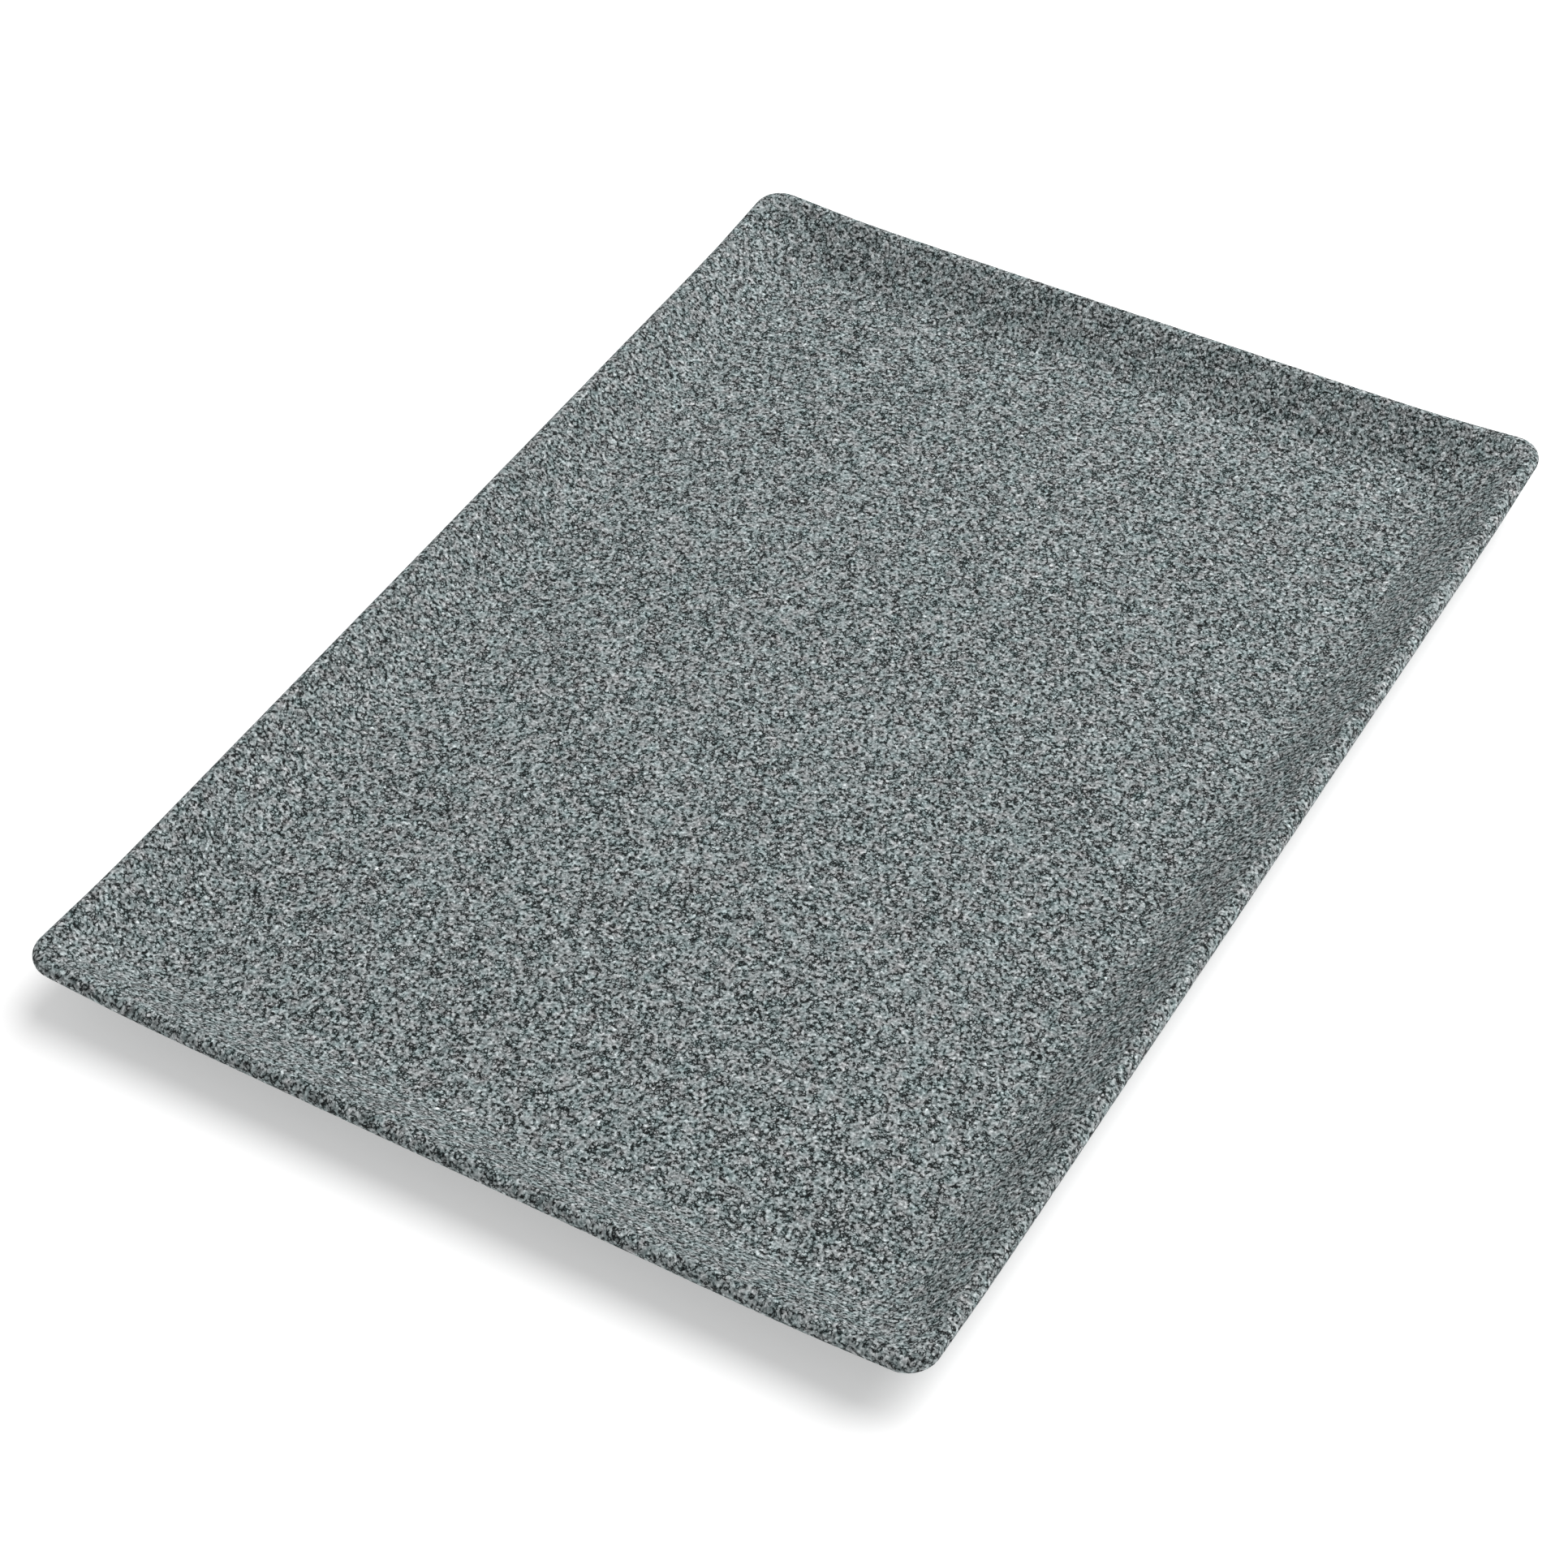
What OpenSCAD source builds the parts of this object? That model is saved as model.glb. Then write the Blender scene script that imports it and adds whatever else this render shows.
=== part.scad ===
// Shallow rectangular tray with a granite look: a flat floor, four upturned sides, a rounded lip and
// corners that rise a little above the middle of each side. A stiff core carries a coat on its top and
// one on its underside, and four pads are bonded to the flat base.
// +X runs along the short side, +Y along the long side and +Z up. The origin is on the surface that the
// tray stands on, under its middle. All lengths are in millimetres.

/* [Tray] */
// Overall length, along Y
tray_length = 360; // [240:5:480]
// Overall width, along X
tray_width = 250; // [180:5:360]
// Depth of the floor below the lip, at the middle of a side
well_depth = 11; // [8:0.5:20]
// Thickness of the floor and the sides, both coats included
wall = 5; // [3:0.25:6]

/* [Sides] */
// Slope of the sides above level, in degrees
side_slope = 35; // [26:1:50]
// Radius of the bend from the floor to the sides, at mid-thickness
bend_r = 20; // [12:0.5:28]
// Corner radius of the lip in plan, along the middle of its roll
lip_corner_r = 5.6; // [5:0.1:16]
// Corner radius of the floor in plan
floor_corner_r = 24; // [14:1:36]
// Rise of the lip at each corner
corner_rise = 1.8; // [0:0.1:4]
// Distance along a side over which that rise dies away
rise_spread = 23; // [12:1:40]

/* [Coats] */
// Thickness of each coat
coat = 0.5; // [0.3:0.05:0.8]
// How far the top coat wraps under the lip, past the roll
coat_wrap = 1.5; // [0.5:0.25:4]

/* [Pads] */
// Diameter of a pad
foot_d = 16; // [10:1:22]
// Height of a pad, and so of the base above the table
foot_h = 2.5; // [1.5:0.25:5]
// Rounding of a pad's lower edge
foot_edge_r = 0.8; // [0.3:0.1:1.2]
// Distance from the edge of the flat base to a pad's centre, in X and in Y
foot_inset = 18; // [15:1:40]

/* [Hidden] */
$fn = 64;

GRANITE = "#7c8585";
UNDERSIDE = "#4d5456";
METAL = "#a9abad";
SILICONE = "#26282a";

BEND_STEPS = 7;
ROLL_STEPS = 8;
CORNER_STEPS = 7;
SIDE_STEPS = 7;

// The section runs at mid-thickness from the edge of the floor, round the bend, up the straight side and
// to the centre of the lip's roll. "out" is the distance out from the edge of the floor, and "up" is the
// height above the floor's mid-thickness.
lip_r = wall / 2;
bend_out = bend_r * sin(side_slope);
bend_up = bend_r * (1 - cos(side_slope));
run = bend_out + (well_depth - bend_up) / tan(side_slope);
floor_mid_z = foot_h + wall / 2;
half_x = tray_width / 2 - lip_r;
half_y = tray_length / 2 - lip_r;
radius_gain = (floor_corner_r - lip_corner_r) / run;

// ---- the section: points [out, up, share of the side's height], at an offset from mid-thickness ----

function bend_point(offset, t) =
    let (a = t * side_slope, r = bend_r - offset)
    [r * sin(a), bend_r - r * cos(a), (1 - cos(a)) * bend_r / well_depth];

// Angle 0 on the roll faces the inside of the tray, 180 its underside.
function roll_point(r, a) =
    [run + r * cos(side_slope + 90 - a), well_depth + r * sin(side_slope + 90 - a), 1];

function upper_side(offset) =
    concat([for (i = [0 : BEND_STEPS]) bend_point(offset, i / BEND_STEPS)],
           [for (i = [0 : ROLL_STEPS]) roll_point(offset, 180 * i / ROLL_STEPS)]);

// A point on the underside of the straight side, "back" from the end of the roll.
function under_point(r, back) =
    let (p = roll_point(r, 180), share = 1 - back * sin(side_slope) / well_depth)
    [p.x - back * cos(side_slope), p.y - back * sin(side_slope), share];

function lower_side(offset) =
    concat([under_point(offset, coat_wrap)],
           [for (i = [BEND_STEPS : -1 : 0]) bend_point(-offset, i / BEND_STEPS)]);

// ---- plan rings: one rounded rectangle for each point of the section ----

// The corner radius follows the roll as a true offset, then grows down the side towards the floor.
function corner_r(inset) =
    inset <= -lip_r ? lip_corner_r - inset
    : inset < lip_r ? lip_corner_r - inset + (radius_gain + 1) * pow(inset + lip_r, 2) / (4 * lip_r)
    : lip_corner_r + radius_gain * inset;

// Fractions of a straight half side, closer together near the corner where the lip rises.
function side_share(i) = 1 - pow(1 - i / SIDE_STEPS, 1.7);

// One quarter of a ring, from the middle of the +X side to just short of the middle of the +Y side.
function quarter(hx, hy, r) =
    concat([for (i = [0 : SIDE_STEPS - 1]) [hx, (hy - r) * side_share(i)]],
           [for (i = [0 : CORNER_STEPS])
               [hx - r + r * cos(90 * i / CORNER_STEPS), hy - r + r * sin(90 * i / CORNER_STEPS)]],
           [for (i = [SIDE_STEPS - 1 : -1 : 1]) [(hx - r) * side_share(i), hy]]);

function mirrored(points, sx, sy) = [for (p = points) [p.x * sx, p.y * sy]];

// All four quarters, counterclockwise seen from above. Each starts at the middle of a side, and stops
// short of the next middle.
function ring(hx, hy, r) =
    let (q = quarter(hx, hy, r), q_back = [for (i = [len(q) - 1 : -1 : 1]) q[i]])
    concat(q, [[0, hy]], mirrored(q_back, -1, 1), mirrored(q, -1, -1), [[0, -hy]], mirrored(q_back, 1, -1));

rim_ring = ring(half_x, half_y, lip_corner_r);
from_corner = [for (p = rim_ring) max(half_x - abs(p.x), half_y - abs(p.y))];
rise = [for (s = from_corner) corner_rise * exp(-pow(s / rise_spread, 2))];
RING = len(rim_ring);

// One ring of solid points for a section point [out, up, share].
function ring3(s) =
    let (inset = run - s.x, flat = ring(half_x - inset, half_y - inset, corner_r(inset)))
    [for (i = [0 : RING - 1]) [flat[i].x, flat[i].y, floor_mid_z + s.y + rise[i] * s[2]]];

// Closed skin through a stack of rings. A fan of triangles round a middle point caps each end.
module skin(section) {
    rings = [for (s = section) ring3(s)];
    last = len(section) - 1;
    top_middle = (last + 1) * RING;
    bottom_middle = top_middle + 1;
    points = concat([for (r = rings) for (p = r) p], [[0, 0, rings[0][0].z], [0, 0, rings[last][0].z]]);
    sides = [for (k = [0 : last - 1]) for (i = [0 : RING - 1])
        let (a = k * RING + i, b = k * RING + (i + 1) % RING)
        each [[a, b, b + RING], [a, b + RING, a + RING]]];
    top_cap = [for (i = [0 : RING - 1]) [(i + 1) % RING, i, top_middle]];
    bottom_cap = [for (i = [0 : RING - 1]) [last * RING + i, last * RING + (i + 1) % RING, bottom_middle]];
    polyhedron(points, concat(sides, top_cap, bottom_cap), convexity = 6);
}

// ---- the pieces ----

core_half = wall / 2 - coat;

function reversed(v) = [for (i = [len(v) - 1 : -1 : 0]) v[i]];

module tray_core() {
    color(METAL) skin(concat(upper_side(core_half), lower_side(core_half)));
}

module granite_top_coat() {
    outside = concat(upper_side(lip_r), [under_point(lip_r, coat_wrap)]);
    inside = concat(upper_side(core_half), [under_point(core_half, coat_wrap)]);
    color(GRANITE) skin(concat(outside, reversed(inside)));
}

module underside_coat() {
    color(UNDERSIDE) skin(concat(reversed(lower_side(core_half)), lower_side(lip_r)));
}

// A round pad with a rounded lower edge, standing on Z = 0 and touching the base at foot_h.
module pad() {
    r = foot_d / 2;
    color(SILICONE) rotate_extrude() {
        square([r - foot_edge_r, foot_h]);
        translate([0, foot_edge_r]) square([r, foot_h - foot_edge_r]);
        translate([r - foot_edge_r, foot_edge_r]) intersection() {
            circle(foot_edge_r);
            translate([0, -foot_edge_r]) square(2 * foot_edge_r);
        }
    }
}

foot_x = half_x - run - foot_inset;
foot_y = half_y - run - foot_inset;

module foot_front_left() translate([-foot_x, -foot_y]) pad();
module foot_front_right() translate([foot_x, -foot_y]) pad();
module foot_back_left() translate([-foot_x, foot_y]) pad();
module foot_back_right() translate([foot_x, foot_y]) pad();

tray_core();
granite_top_coat();
underside_coat();
foot_front_left();
foot_front_right();
foot_back_left();
foot_back_right();
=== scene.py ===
"""Granite-look tray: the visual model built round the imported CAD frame. Lengths are in metres."""
import math

import bpy
import numpy as np
from mathutils import Matrix, Vector, noise


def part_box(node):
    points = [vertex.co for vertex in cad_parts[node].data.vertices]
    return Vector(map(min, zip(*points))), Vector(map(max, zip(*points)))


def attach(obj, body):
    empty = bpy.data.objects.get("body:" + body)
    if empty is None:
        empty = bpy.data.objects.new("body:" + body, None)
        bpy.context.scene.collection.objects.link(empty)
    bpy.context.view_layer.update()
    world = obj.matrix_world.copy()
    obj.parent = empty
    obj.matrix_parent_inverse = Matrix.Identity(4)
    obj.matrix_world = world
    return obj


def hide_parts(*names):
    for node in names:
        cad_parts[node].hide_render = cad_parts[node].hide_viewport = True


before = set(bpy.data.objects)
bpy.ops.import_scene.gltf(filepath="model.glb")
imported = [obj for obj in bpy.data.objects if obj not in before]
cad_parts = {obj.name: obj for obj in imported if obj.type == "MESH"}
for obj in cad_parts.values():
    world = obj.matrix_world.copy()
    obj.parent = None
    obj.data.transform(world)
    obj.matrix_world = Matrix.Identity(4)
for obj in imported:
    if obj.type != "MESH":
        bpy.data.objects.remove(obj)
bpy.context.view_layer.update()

MM = 0.001

# ---- the tray's dimensions: from the CAD boxes, and the section's own shape as the CAD has it ----

top_low, top_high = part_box("granite_top_coat")
core_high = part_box("tray_core")[1]

BASE_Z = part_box("underside_coat")[0].z
COAT = top_high.x - core_high.x
WALL = top_low.z + COAT - BASE_Z
LIP_R = WALL / 2
CORE_HALF = LIP_R - COAT
MID_Z = BASE_Z + LIP_R
HALF_X = top_high.x - LIP_R
HALF_Y = top_high.y - LIP_R

# depth and rise are measured at mid-thickness, and so is every radius
WELL_DEPTH = 11 * MM
SIDE_SLOPE = math.radians(35)
BEND_R = 20 * MM
LIP_CORNER_R = 5.6 * MM
FLOOR_CORNER_R = 24 * MM
CORNER_RISE = 1.8 * MM
RISE_SPREAD = 23 * MM
COAT_WRAP = 1.5 * MM

BEND_UP = BEND_R * (1 - math.cos(SIDE_SLOPE))
RUN = BEND_R * math.sin(SIDE_SLOPE) + (WELL_DEPTH - BEND_UP) / math.tan(SIDE_SLOPE)
RADIUS_GAIN = (FLOOR_CORNER_R - LIP_CORNER_R) / RUN


# ---- the section: rows of (out from the floor's edge, up from mid-thickness, share of the rise) ----

def bend_points(offset, count):
    angle = np.linspace(0, SIDE_SLOPE, count)
    radius = BEND_R - offset
    share = (1 - np.cos(angle)) * BEND_R / WELL_DEPTH
    return np.column_stack([radius * np.sin(angle), BEND_R - radius * np.cos(angle), share])


def roll_points(radius, count):
    angle = SIDE_SLOPE + math.pi / 2 - np.linspace(0, math.pi, count)
    out = RUN + radius * np.cos(angle)
    up = WELL_DEPTH + radius * np.sin(angle)
    return np.column_stack([out, up, np.ones(count)])


def under_points(radius, back):
    """Points on the underside of the straight side, back from the end of the roll."""
    back = np.atleast_1d(back)
    end = roll_points(radius, 2)[1]
    out = end[0] - back * math.cos(SIDE_SLOPE)
    up = end[1] - back * math.sin(SIDE_SLOPE)
    return np.column_stack([out, up, 1 - back * math.sin(SIDE_SLOPE) / WELL_DEPTH])


def filled(points, step):
    """The same path with extra points, so that no stretch is longer than step."""
    rows = [points[:1]]
    for a, b in zip(points[:-1], points[1:]):
        count = max(1, math.ceil(np.linalg.norm((b - a)[:2]) / step))
        t = np.linspace(0, 1, count + 1)[1:, None]
        rows.append(a + (b - a) * t)
    return np.vstack(rows)


# ---- plan rings ----

def corner_radius(inset):
    """The corner radius in plan, at a distance in from the middle of the lip's roll."""
    if inset <= -LIP_R:
        return LIP_CORNER_R - inset
    if inset < LIP_R:
        return LIP_CORNER_R - inset + (RADIUS_GAIN + 1) * (inset + LIP_R) ** 2 / (4 * LIP_R)
    return LIP_CORNER_R + RADIUS_GAIN * inset


class Rings:
    """Rounded rectangles with the same number of points, in step with each other."""

    def __init__(self, step, arc_steps):
        self.long = round((HALF_Y - LIP_CORNER_R) / step)
        self.short = round((HALF_X - LIP_CORNER_R) / step)
        self.arc = arc_steps
        self.count = 4 * (self.long + self.arc + self.short)
        rim = self.flat(0)
        from_corner = np.maximum(HALF_X - abs(rim[:, 0]), HALF_Y - abs(rim[:, 1]))
        self.rise = CORNER_RISE * np.exp(-(from_corner / RISE_SPREAD) ** 2)

    def flat(self, inset):
        """One ring in plan, counterclockwise from the middle of the +X side."""
        hx, hy, r = HALF_X - inset, HALF_Y - inset, corner_radius(inset)
        along = (hy - r) * np.arange(self.long) / self.long
        across = (hx - r) * np.arange(self.short - 1, 0, -1) / self.short
        angle = np.linspace(0, math.pi / 2, self.arc + 1)
        arc = np.column_stack([hx - r + r * np.cos(angle), hy - r + r * np.sin(angle)])
        side = np.column_stack([np.full(self.long, hx), along])
        end = np.column_stack([across, np.full(self.short - 1, hy)])
        quarter = np.vstack([side, arc, end])
        back = quarter[:0:-1]
        return np.vstack([quarter, [[0, hy]], back * [-1, 1], -quarter, [[0, -hy]], back * [1, -1]])

    def solid(self, section_point):
        """The ring in space for one point of the section."""
        out, up, share = section_point
        flat = self.flat(RUN - out)
        return np.column_stack([flat, MID_Z + up + self.rise * share])

    def skin(self, section):
        """Points and quads of the surface through the section, from its first point to its last."""
        points = np.vstack([self.solid(s) for s in section])
        first = np.arange(self.count)
        following = (first + 1) % self.count
        quads = []
        for k in range(len(section) - 1):
            a, b = k * self.count, (k + 1) * self.count
            quads.append(np.column_stack([b + first, b + following, a + following, a + first]))
        return points, np.vstack(quads)

    def fill(self, ring_points, first_new, ring_start):
        """A grid inside a flat ring. Returns its new points, and quads that face up."""
        n = self.count
        corner = self.long + self.arc // 2
        right = np.arange(-corner, corner + 1) % n
        left = np.arange(n // 2 + corner, n // 2 - corner - 1, -1)
        top = np.arange(n // 2 - corner, corner - 1, -1)
        bottom = np.arange(n // 2 + corner, n - corner + 1)
        rows, columns = len(left), len(bottom)
        v = np.linspace(0, 1, rows)[:, None, None]
        u = np.linspace(0, 1, columns)[None, :, None]
        p = ring_points
        grid = (1 - v) * p[bottom][None] + v * p[top][None]
        grid = grid + (1 - u) * p[left][:, None] + u * p[right][:, None]
        grid -= (1 - v) * ((1 - u) * p[bottom[0]] + u * p[bottom[-1]])
        grid -= v * ((1 - u) * p[top[0]] + u * p[top[-1]])
        index = np.zeros((rows, columns), int)
        index[1:-1, 1:-1] = first_new + np.arange((rows - 2) * (columns - 2)).reshape(rows - 2, columns - 2)
        index[0], index[-1] = ring_start + bottom, ring_start + top
        index[:, 0], index[:, -1] = ring_start + left, ring_start + right
        quads = np.stack([index[:-1, :-1], index[:-1, 1:], index[1:, 1:], index[1:, :-1]], -1).reshape(-1, 4)
        return grid[1:-1, 1:-1].reshape(-1, 3), quads


def coat_mesh(name, rings, shown, hidden, up):
    """A closed coat: a fine shown surface, and a plain hidden one that lies on the core.

    shown and hidden both run outwards from the edge of the floor. up says which way the floor faces.
    Also returns 1 for each point of the shown surface, and 0 for the rest."""
    section = np.vstack([shown, hidden[::-1]]) if up else np.vstack([hidden, shown[::-1]])
    points, quads = rings.skin(section)
    shown_ring = 0 if up else (len(section) - 1) * rings.count
    hidden_ring = (len(section) - 1) * rings.count if up else 0
    ring_points = points[shown_ring:shown_ring + rings.count]
    inner, floor = rings.fill(ring_points, len(points), shown_ring)
    points = np.vstack([points, inner])
    if not up:
        floor = floor[:, ::-1]
    cap = list(range(hidden_ring, hidden_ring + rings.count))
    faces = quads.tolist() + floor.tolist() + [cap if not up else cap[::-1]]
    mesh = bpy.data.meshes.new(name)
    mesh.from_pydata(points.tolist(), [], faces)
    mesh.validate()
    shown_points = np.zeros(len(points))
    shown_points[len(section) * rings.count:] = 1
    rows = np.arange(len(section)) < len(shown) if up else np.arange(len(section)) >= len(hidden)
    shown_points[:len(section) * rings.count] = np.repeat(rows, rings.count)
    return mesh, shown_points


def undulate(mesh, weight, depth, wave, seed):
    """Moves the weighted points along their normals by a smooth unevenness."""
    count = len(mesh.vertices)
    co = np.zeros(count * 3)
    normal = np.zeros(count * 3)
    mesh.vertices.foreach_get("co", co)
    mesh.vertices.foreach_get("normal", normal)
    co, normal = co.reshape(-1, 3), normal.reshape(-1, 3)
    shift = Vector((seed, seed * 0.37, seed * 0.71))
    value = np.array([noise.fractal(Vector(p) / wave + shift, 0.9, 2.1, 3) for p in co])
    co += normal * (depth * value * weight)[:, None]
    mesh.vertices.foreach_set("co", co.ravel())
    mesh.update()


def add_piece(name, mesh, material, slot, *nodes):
    piece = bpy.data.objects.new(name, mesh)
    bpy.context.scene.collection.objects.link(piece)
    mesh.materials.clear()
    mesh.materials.append(material)
    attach(piece, "root")
    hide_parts(*nodes)


# ---- materials ----

class Shader:
    """A short way to build a node material on Object coordinates, counted in millimetres."""

    def __init__(self, name):
        self.material = bpy.data.materials.new(name)
        self.material.use_nodes = True
        self.tree = self.material.node_tree
        self.bsdf = self.tree.nodes["Principled BSDF"]
        place = self.tree.nodes.new("ShaderNodeTexCoord").outputs["Object"]
        self.place = self.scaled(place, 1 / MM)

    def put(self, socket, value):
        if isinstance(value, bpy.types.NodeSocket):
            self.tree.links.new(value, socket)
        else:
            socket.default_value = value

    def node(self, kind, settings, inputs):
        made = self.tree.nodes.new(kind)
        for key, value in settings.items():
            setattr(made, key, value)
        for key, value in inputs.items():
            self.put(made.inputs[key], value)
        return made

    def math(self, operation, a, b=0.0, clamp=False):
        settings = {"operation": operation, "use_clamp": clamp}
        return self.node("ShaderNodeMath", settings, {0: a, 1: b}).outputs[0]

    def total(self, *terms):
        result = terms[0]
        for term in terms[1:]:
            result = self.math("ADD", result, term)
        return result

    def about_zero(self, value, width):
        """A value from 0 to 1, moved to run from -width / 2 to width / 2."""
        return self.math("MULTIPLY", self.math("SUBTRACT", value, 0.5), width)

    def seen(self, tone, least):
        """The albedo that looks as bright as tone, no darker than least."""
        linear = self.math("POWER", self.math("MAXIMUM", tone, least), EYE_POWER)
        return self.math("MULTIPLY", linear, REACH)

    def scaled(self, vector, factor):
        inputs = {0: vector, "Scale": factor}
        return self.node("ShaderNodeVectorMath", {"operation": "SCALE"}, inputs).outputs[0]

    def step(self, value, low, high, start=0.0, end=1.0):
        """A smooth change from start to end while value goes from low to high."""
        inputs = {"Value": value, "From Min": low, "From Max": high, "To Min": start, "To Max": end}
        return self.node("ShaderNodeMapRange", {"interpolation_type": "SMOOTHSTEP"}, inputs).outputs[0]

    def noise(self, place, size, detail=0.0, roughness=0.5):
        inputs = {"Vector": place, "Scale": 1 / size, "Detail": detail, "Roughness": roughness}
        return self.node("ShaderNodeTexNoise", {}, inputs).outputs["Fac"]

    def cells(self, place, size, feature="F1"):
        inputs = {"Vector": place, "Scale": 1 / size}
        return self.node("ShaderNodeTexVoronoi", {"feature": feature}, inputs)

    def part(self, colour, channel):
        return self.node("ShaderNodeSeparateColor", {}, {"Color": colour}).outputs[channel]

    def warped(self, size, amount):
        """The coordinates, pushed about by noise."""
        inputs = {"Vector": self.place, "Scale": 1 / size, "Detail": 1.0}
        push = self.node("ShaderNodeTexNoise", {}, inputs).outputs["Color"]
        middle = self.node("ShaderNodeVectorMath", {"operation": "SUBTRACT"}, {0: push, 1: (0.5, 0.5, 0.5)})
        push = self.scaled(middle.outputs[0], amount)
        return self.node("ShaderNodeVectorMath", {"operation": "ADD"}, {0: self.place, 1: push}).outputs[0]

    def bump(self, height, depth):
        inputs = {"Height": height, "Distance": depth, "Strength": 1.0}
        return self.node("ShaderNodeBump", {}, inputs).outputs[0]


# how far a gap's painted shade reaches into a grain, as a share of its size, and how much of its noise a
# crease's painted shade takes up
GAP_WIDTH = 0.26
CREASE_WIDTH = 0.05
# hue: red's step down and its drift, in brightness as the eye sees it, and blue's gain over green
RED_DROP = 0.034
RED_DRIFT = 0.1
BLUE_GAIN = 1.012
# brightness as the eye sees it: its power law, the albedo of the brightest tone, and the darkest tones
EYE_POWER = 2.2
REACH = 0.787
LEAST_RED = 0.06
LEAST_GREEN = 0.08


def speckled(name, grain, level, contrast, crevice_shade_depth, relief, roughness):
    """Sprayed stone-look coat: packed light grains, with painted shade in the gaps and short creases between
    some of them.

    level, contrast and crevice_shade_depth are brightness as the eye sees it, from 0 to 1. grain is in
    millimetres."""
    shader = Shader(name)
    place = shader.warped(grain * 1.1, grain * 0.9)

    # grains: a tone for each one, a softer unevenness over several, and a few painted brighter as glints
    # (painted highlights)
    edge = shader.cells(place, grain, "DISTANCE_TO_EDGE").outputs["Distance"]
    cell = shader.cells(place, grain).outputs["Color"]
    fine = shader.noise(place, grain, 1.0, 0.4)
    cell_tone = shader.about_zero(shader.part(cell, 0), contrast * 0.4)
    fine_tone = shader.about_zero(fine, contrast * 2.4)
    # a few grains painted bright as glints: painted highlights
    painted_glint = shader.step(shader.part(cell, 1), 0.98, 0.985, 0.0, 0.16)

    # painted shade: gaps round some grains, and short creases that wander across them, painted dark as the
    # shade that falls in them
    near_edge = shader.step(edge, 0.0, GAP_WIDTH, 1.0, 0.0)
    gap_shade = shader.math("MULTIPLY", near_edge, shader.step(shader.noise(shader.place, grain * 1.2), 0.42, 0.60))
    wander = shader.math("ABSOLUTE", shader.about_zero(shader.noise(place, grain * 1.2, 1.0, 0.4), 1.0))
    crease_shade = shader.step(wander, 0.0, CREASE_WIDTH, 1.0, 0.0)
    crease_shade = shader.math("MULTIPLY", crease_shade, shader.step(shader.noise(shader.place, grain * 1.2), 0.5, 0.62))
    # the painted crevice shade: how much darker the gaps and creases are painted
    painted_crevice_shade = shader.math("MULTIPLY", shader.math("MAXIMUM", gap_shade, crease_shade), -crevice_shade_depth)

    # a blue-grey: red is a step darker to the eye at every brightness, with a faint drift between grains
    tone = shader.total(level, cell_tone, fine_tone, painted_glint, painted_crevice_shade)
    drift = shader.about_zero(shader.noise(shader.place, grain * 3.5, 1.0), RED_DRIFT)
    red = shader.seen(shader.total(tone, -RED_DROP, drift), LEAST_RED)
    green = shader.seen(tone, LEAST_GREEN)
    blue = shader.math("MULTIPLY", green, BLUE_GAIN)
    colour = shader.node("ShaderNodeCombineColor", {}, {0: red, 1: green, 2: blue}).outputs[0]
    shader.put(shader.bsdf.inputs["Base Color"], colour)
    shader.put(shader.bsdf.inputs["Roughness"], shader.step(tone, 0.3, 0.8, roughness + 0.1, roughness - 0.1))
    shader.bsdf.inputs["Specular IOR Level"].default_value = 0.25

    # relief: rounded grains of uneven height
    height = shader.total(shader.step(edge, 0.0, 0.35), shader.about_zero(fine, 1.2),
                          shader.about_zero(shader.part(cell, 2), 0.8))
    shader.put(shader.bsdf.inputs["Normal"], shader.bump(height, relief))
    return shader.material


def rubbery(name, colour):
    """Matt moulded silicone with a fine, even grain."""
    shader = Shader(name)
    grain = shader.noise(shader.place, 0.25, 2.0)
    shader.bsdf.inputs["Base Color"].default_value = (*colour, 1)
    shader.bsdf.inputs["Specular IOR Level"].default_value = 0.35
    shader.put(shader.bsdf.inputs["Roughness"], shader.step(grain, 0.3, 0.7, 0.55, 0.72))
    shader.put(shader.bsdf.inputs["Normal"], shader.bump(grain, 0.02 * MM))
    return shader.material


def cast_metal(name, colour):
    """Bare cast aluminium, slightly mottled."""
    shader = Shader(name)
    mottle = shader.noise(shader.place, 2.5, 3.0)
    shader.bsdf.inputs["Base Color"].default_value = (*colour, 1)
    shader.bsdf.inputs["Metallic"].default_value = 1.0
    shader.put(shader.bsdf.inputs["Roughness"], shader.step(mottle, 0.3, 0.7, 0.42, 0.6))
    shader.put(shader.bsdf.inputs["Normal"], shader.bump(mottle, 0.05 * MM))
    return shader.material


granite = speckled("granite", 0.84, 0.657, 0.43, 0.58, 0.1 * MM, 0.75)
underside = speckled("underside", 0.65, 0.36, 0.20, 0.14, 0.08 * MM, 0.62)
silicone = rubbery("silicone", (0.02, 0.021, 0.023))
metal = cast_metal("metal", (0.62, 0.63, 0.64))

# ---- the coats ----

FINE_STEP = 1.45 * MM
BACK_STEP = 2.4 * MM
SEAM_DEPTH = 0.18 * MM
SEAM_HALF = 0.35 * MM
WAVE_DEPTH = 0.03 * MM
WAVE_LENGTH = 6 * MM
SHARP_ANGLE = math.radians(50)
LIP_CORNER_STEPS = 16

fine = Rings(FINE_STEP, LIP_CORNER_STEPS)
coarse = Rings(BACK_STEP, LIP_CORNER_STEPS)


def finished(mesh):
    """Smooth shading, with real edges kept sharp."""
    mesh.shade_smooth()
    mesh.set_sharp_from_angle(angle=SHARP_ANGLE)


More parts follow.
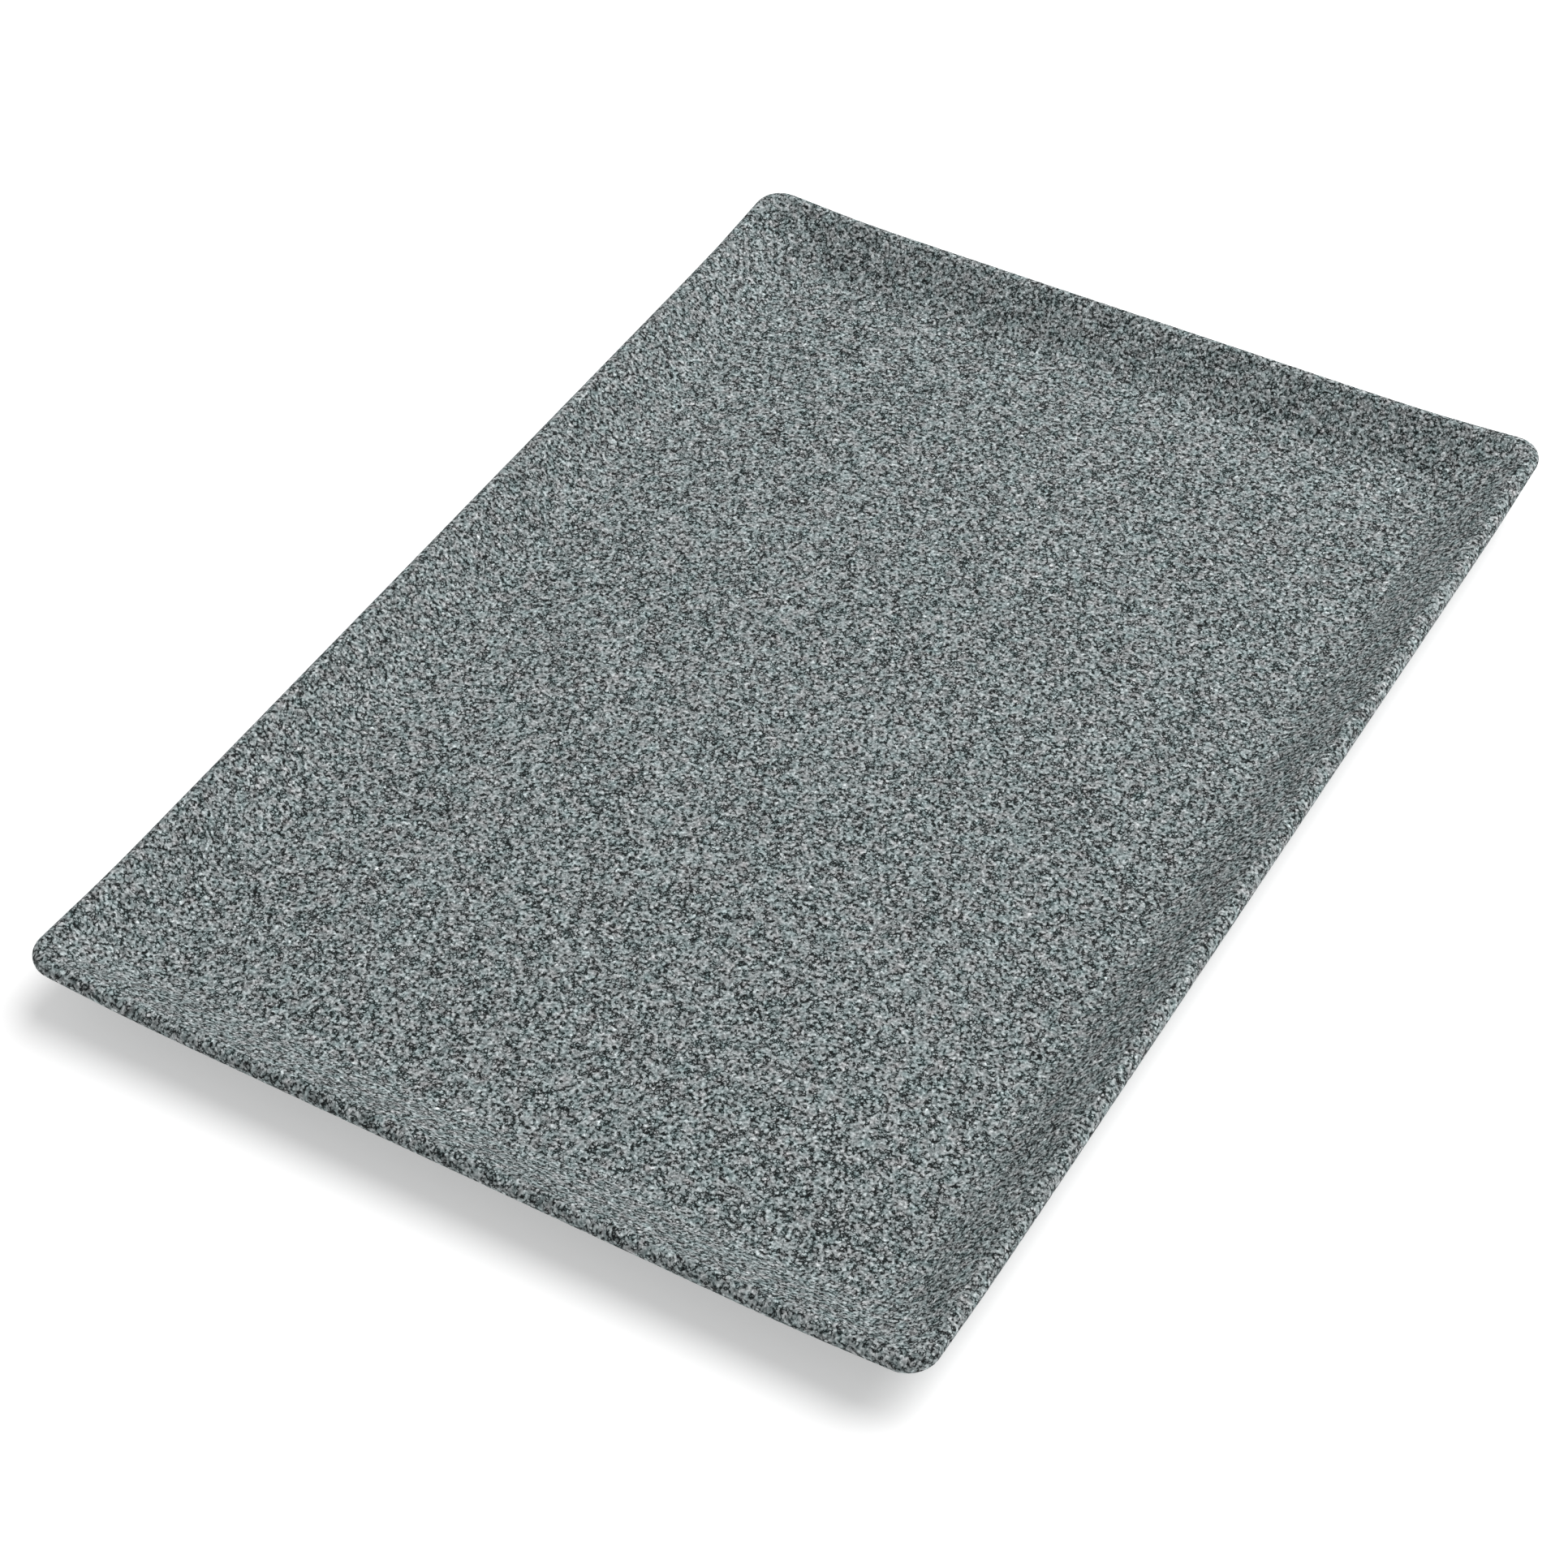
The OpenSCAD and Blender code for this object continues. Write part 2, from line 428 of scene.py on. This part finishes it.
def tray_top():
    """The granite coat. Its edge thins out at the parting line under the lip."""
    edge = [under_points(LIP_R, COAT_WRAP - SEAM_HALF), under_points(LIP_R - SEAM_DEPTH, COAT_WRAP)]
    shown = np.vstack([bend_points(LIP_R, 9), roll_points(LIP_R, 15), *edge])
    back = under_points(CORE_HALF, COAT_WRAP)
    hidden = np.vstack([bend_points(CORE_HALF, 4), roll_points(CORE_HALF, 7), back])
    mesh, weight = coat_mesh("granite_top", fine, filled(shown, FINE_STEP), hidden, True)
    undulate(mesh, weight, WAVE_DEPTH, WAVE_LENGTH, seed=3.0)
    finished(mesh)
    add_piece("granite_top", mesh, granite, "granite_coat", "granite_top_coat")


def tray_underside():
    """The underside coat, from the base up to the parting line, where its edge thins out too."""
    edge = [under_points(LIP_R, COAT_WRAP + SEAM_HALF), under_points(LIP_R - SEAM_DEPTH, COAT_WRAP)]
    shown = np.vstack([bend_points(-LIP_R, 9), *edge])
    hidden = np.vstack([bend_points(-CORE_HALF, 4), under_points(CORE_HALF, COAT_WRAP)])
    mesh, weight = coat_mesh("underside_skin", coarse, filled(shown, BACK_STEP), hidden, False)
    undulate(mesh, weight, WAVE_DEPTH, WAVE_LENGTH, seed=8.0)
    finished(mesh)
    add_piece("underside_skin", mesh, underside, "underside_coat", "underside_coat")


# ---- the pads ----

PAD_STEPS = 96
PAD_ROUND = 0.8 * MM
GROOVE_DEPTH = 0.35 * MM
GROOVE_HALF = 0.6 * MM
GROOVE_PLACE = 0.62
DISH_DEPTH = 0.12 * MM
PAD_SINK = 0.1 * MM


def pad_profile(radius, height):
    """(radius, height) points from the middle of the foot, out over its groove and up to the tray."""
    groove = []
    for t in np.linspace(-1, 1, 9):
        groove.append((radius * GROOVE_PLACE + t * GROOVE_HALF, GROOVE_DEPTH * math.cos(t * math.pi / 2)))
    round_edge = []
    for a in np.linspace(0, math.pi / 2, 8):
        round_edge.append((radius - PAD_ROUND * (1 - math.sin(a)), PAD_ROUND * (1 - math.cos(a))))
    dish = [(radius * 0.2, DISH_DEPTH), (radius * 0.38, 0.0)]
    return dish + groove + round_edge + [(radius, height * 0.7), (radius, height + PAD_SINK)]


def add_pad(node):
    """A round silicone pad with a moulded ring groove in its foot."""
    low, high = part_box(node)
    middle = (low + high) / 2
    profile = pad_profile((high.x - low.x) / 2, high.z - low.z)
    turn = np.linspace(0, 2 * math.pi, PAD_STEPS, endpoint=False)
    points = [(middle.x, middle.y, low.z + DISH_DEPTH)]
    for r, z in profile:
        points += [(middle.x + r * math.cos(a), middle.y + r * math.sin(a), low.z + z) for a in turn]
    faces = []
    for i in range(PAD_STEPS):
        j = (i + 1) % PAD_STEPS
        faces.append((0, 1 + j, 1 + i))
        for k in range(len(profile) - 1):
            a, b = 1 + k * PAD_STEPS, 1 + (k + 1) * PAD_STEPS
            faces.append((a + i, a + j, b + j, b + i))
    last = 1 + (len(profile) - 1) * PAD_STEPS
    faces.append([last + i for i in range(PAD_STEPS)])
    mesh = bpy.data.meshes.new(node + "_pad")
    mesh.from_pydata(points, [], faces)
    finished(mesh)
    add_piece(node + "_pad", mesh, silicone, "silicone", node)


tray_top()
tray_underside()
for end in ("front", "back"):
    for side in ("left", "right"):
        add_pad(f"foot_{end}_{side}")
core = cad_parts["tray_core"].data
core.materials.clear()
core.materials.append(metal)

# ---- stage, light and camera ----

scene = bpy.context.scene
scene.view_settings.view_transform = "Standard"

WHITE = (1, 1, 1, 1)
FLOOR_R = 8.0
FLOOR_STEPS = 96
FLOOR_ALBEDO = 0.8
FLOOR_GLOW = 0.4
SKY = 0.32
# as pale as the far side of the floor, so that no horizon shows
BACKDROP = 0.66
KEY_POWER = 71
KEY_AZIMUTH = math.radians(143)
KEY_ELEVATION = math.radians(60)
KEY_DISTANCE = 2.4
KEY_SIZE = 2.6


def toward(azimuth, elevation):
    """The direction from the tray towards a place at this azimuth from the front and this elevation."""
    level = math.cos(elevation)
    return Vector((math.sin(azimuth) * level, -math.cos(azimuth) * level, math.sin(elevation)))


def plain(tree, kind, **values):
    """The output of a shader node with constant inputs."""
    made = tree.nodes.new(kind)
    for name, value in values.items():
        made.inputs[name].default_value = value
    return made.outputs[0]


def mixed(tree, factor, first, second):
    mix = tree.nodes.new("ShaderNodeMixShader")
    for socket, source in zip(mix.inputs, (factor, first, second)):
        tree.links.new(source, socket)
    return mix.outputs[0]


def floor_material():
    """A matt white table, softly lit from inside too, which keeps the contact shadow light. From below
    it can't be seen, so a view from there shows the tray's underside."""
    material = bpy.data.materials.new("floor")
    material.use_nodes = True
    tree = material.node_tree
    tree.nodes.clear()
    lit = tree.nodes.new("ShaderNodeAddShader")
    matt = plain(tree, "ShaderNodeBsdfDiffuse", Color=(FLOOR_ALBEDO, FLOOR_ALBEDO, FLOOR_ALBEDO, 1))
    tree.links.new(matt, lit.inputs[0])
    tree.links.new(plain(tree, "ShaderNodeEmission", Strength=FLOOR_GLOW), lit.inputs[1])
    clear = plain(tree, "ShaderNodeBsdfTransparent")
    backfacing = tree.nodes.new("ShaderNodeNewGeometry").outputs["Backfacing"]
    end = tree.nodes.new("ShaderNodeOutputMaterial")
    tree.links.new(mixed(tree, backfacing, lit.outputs[0], clear), end.inputs["Surface"])
    return material


def add_floor():
    mesh = bpy.data.meshes.new("floor")
    angles = np.linspace(0, 2 * math.pi, FLOOR_STEPS, endpoint=False)
    ring = [(FLOOR_R * math.cos(a), FLOOR_R * math.sin(a), 0) for a in angles]
    mesh.from_pydata(ring, [], [list(range(FLOOR_STEPS))])
    mesh.materials.append(floor_material())
    floor = bpy.data.objects.new("floor", mesh)
    scene.collection.objects.link(floor)


def add_sky():
    """An even, dim surround that looks pale to the camera."""
    world = bpy.data.worlds.new("studio")
    world.use_nodes = True
    tree = world.node_tree
    tree.nodes.clear()
    dim = plain(tree, "ShaderNodeBackground", Color=WHITE, Strength=SKY)
    pale = plain(tree, "ShaderNodeBackground", Color=WHITE, Strength=BACKDROP)
    camera_ray = tree.nodes.new("ShaderNodeLightPath").outputs["Is Camera Ray"]
    end = tree.nodes.new("ShaderNodeOutputWorld")
    tree.links.new(mixed(tree, camera_ray, dim, pale), end.inputs["Surface"])
    scene.world = world


def add_softbox(name, azimuth, elevation, distance, size, power):
    back = toward(azimuth, elevation)
    light = bpy.data.lights.new(name, "AREA")
    light.shape = "DISK"
    light.size = size
    light.energy = power
    lamp = bpy.data.objects.new(name, light)
    lamp.location = back * distance
    lamp.rotation_euler = back.to_track_quat("Z", "Y").to_euler()
    scene.collection.objects.link(lamp)


add_floor()
add_sky()
add_softbox("key", KEY_AZIMUTH, KEY_ELEVATION, KEY_DISTANCE, KEY_SIZE, KEY_POWER)

# the camera: where it stands from the tray, its turn about its own axis, and what it looks at
AZIMUTH = math.radians(31.27)
ELEVATION = math.radians(45.19)
ROLL = math.radians(-1.38)
DISTANCE = 0.9208
AIM = Vector((5.3 * MM, -34.9 * MM, MID_Z + WELL_DEPTH))
LENS = 83.28


def add_camera():
    back = toward(AZIMUTH, ELEVATION)
    level = Vector((math.cos(AZIMUTH), math.sin(AZIMUTH), 0))
    above = back.cross(level)
    right = level * math.cos(ROLL) + above * math.sin(ROLL)
    up = above * math.cos(ROLL) - level * math.sin(ROLL)
    data = bpy.data.cameras.new("camera")
    data.lens = LENS
    data.sensor_width = 36
    data.clip_start = 0.01
    camera = bpy.data.objects.new("camera", data)
    turned = Matrix((right, up, back)).transposed().to_4x4()
    camera.matrix_world = Matrix.Translation(AIM + back * DISTANCE) @ turned
    scene.collection.objects.link(camera)
    scene.camera = camera


add_camera()
